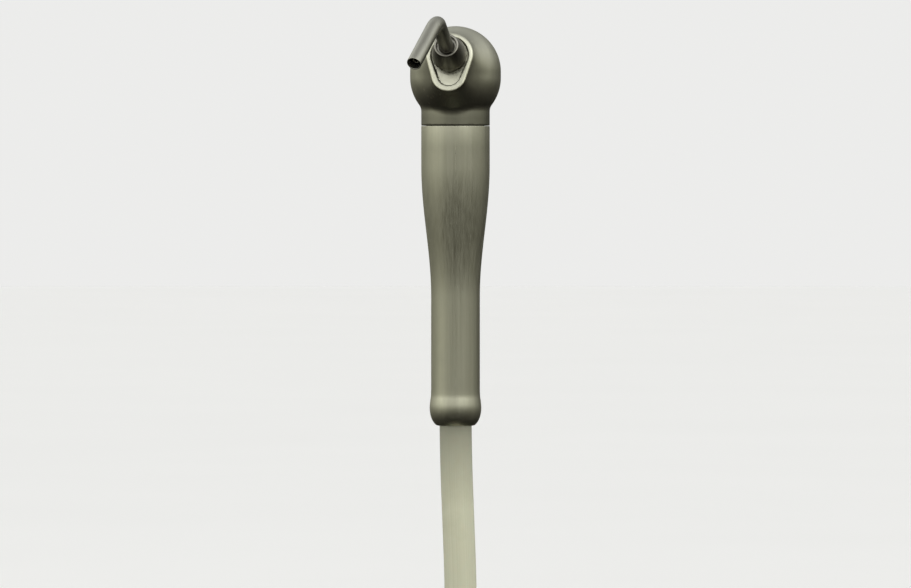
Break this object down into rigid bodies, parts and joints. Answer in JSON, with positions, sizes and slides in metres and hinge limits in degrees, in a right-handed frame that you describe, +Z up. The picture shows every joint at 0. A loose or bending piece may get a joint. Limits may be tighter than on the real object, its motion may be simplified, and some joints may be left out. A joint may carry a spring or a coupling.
{
  "type": "dental air-water syringe",
  "caption": "Three-way dental syringe with a ball head, bent tip held by a locking nut, push-button air and water valves, tapered metal grip and coiled supply hose.",
  "frame": {"origin": "on the grip's axis at the lower end of its taper, where the instrument rests in its holder", "axes": "+Z up the grip's axis towards the head, -Y the way the nozzle points, +Y the side of the buttons"},
  "size_m": [0.0313, 0.1284, 0.3033],
  "materials": {
    "satin_metal": "satin, fine vertical lay",
    "nut_metal": "darkened satin",
    "tip_metal": "satin",
    "stainless": "turned",
    "spring_steel": "drawn wire",
    "brass": "turned",
    "seal_rubber": "matte",
    "washer_plastic": "matte",
    "air_cap": "semi-gloss",
    "water_cap": "semi-gloss",
    "air_tubing": "translucent",
    "water_tubing": "translucent",
    "hose_jacket": "matte, faintly glossy",
    "strap": "woven hook-and-loop"
  },
  "bodies": {
    "syringe_body": {"head_body": "satin_metal", "grip_sleeve": "satin_metal", "grip_seal": "seal_rubber", "air_stem_seal": "seal_rubber", "water_stem_seal": "seal_rubber", "air_spring": "spring_steel", "water_spring": "spring_steel", "air_valve_bushing": "brass", "water_valve_bushing": "brass", "tip_seal": "seal_rubber", "water_tube_seal": "seal_rubber", "air_barb": "brass", "water_barb": "brass", "air_lumen": "air_tubing", "water_lumen": "water_tubing", "air_lumen_clamp": "stainless", "water_lumen_clamp": "stainless", "hose_crimp": "stainless", "hose_run": "hose_jacket", "hose_coil": "hose_jacket", "hose_tail": "hose_jacket", "coil_tie_upper": "strap", "coil_tie_lower": "strap", "unit_end_sleeve": "stainless", "unit_end_plug": "brass", "unit_end_seal": "seal_rubber"},
    "air_valve": {"air_button": "air_cap", "air_stem": "stainless", "air_poppet_seal": "seal_rubber"},
    "water_valve": {"water_button": "water_cap", "water_stem": "stainless", "water_poppet_seal": "seal_rubber"},
    "nut_carriage": {"thrust_washer": "washer_plastic"},
    "locking_nut": {"nozzle_nut": "nut_metal"},
    "tip_seat": {"seal_spacer": "brass"},
    "tip": {"tip_air_tube": "tip_metal", "tip_water_tube": "tip_metal", "tip_root_collar": "brass"}
  },
  "joints": [
    {"name": "air_press", "type": "slide", "parent": "syringe_body", "child": "air_valve", "axis": [0, -0.9397, -0.342], "range_m": [0, 0.002], "stiffness_N_per_m": 1500, "springref_m": -0.001, "deforming": ["air_spring"]},
    {"name": "water_press", "type": "slide", "parent": "syringe_body", "child": "water_valve", "axis": [0, -0.9397, -0.342], "range_m": [0, 0.002], "stiffness_N_per_m": 1500, "springref_m": -0.001, "deforming": ["water_spring"]},
    {"name": "nut_travel", "type": "slide", "parent": "syringe_body", "child": "nut_carriage", "axis": [0, -0.9511, 0.309], "range_m": [0, 0.0015]},
    {"name": "nut_turn", "type": "hinge", "parent": "nut_carriage", "child": "locking_nut", "pos_m": [0, 0, 0.062], "axis": [0, -0.9511, 0.309], "range_deg": [0, 720]},
    {"name": "tip_turn", "type": "hinge", "parent": "syringe_body", "child": "tip_seat", "pos_m": [0, 0, 0.062], "axis": [0, -0.9511, 0.309], "continuous": true},
    {"name": "tip_pull", "type": "slide", "parent": "tip_seat", "child": "tip", "axis": [0, -0.9511, 0.309], "range_m": [0, 0.021]}
  ],
  "couplings": [
    {"joint": "nut_turn", "follows": "nut_travel", "rad_per_m": 8377.5}
  ]
}
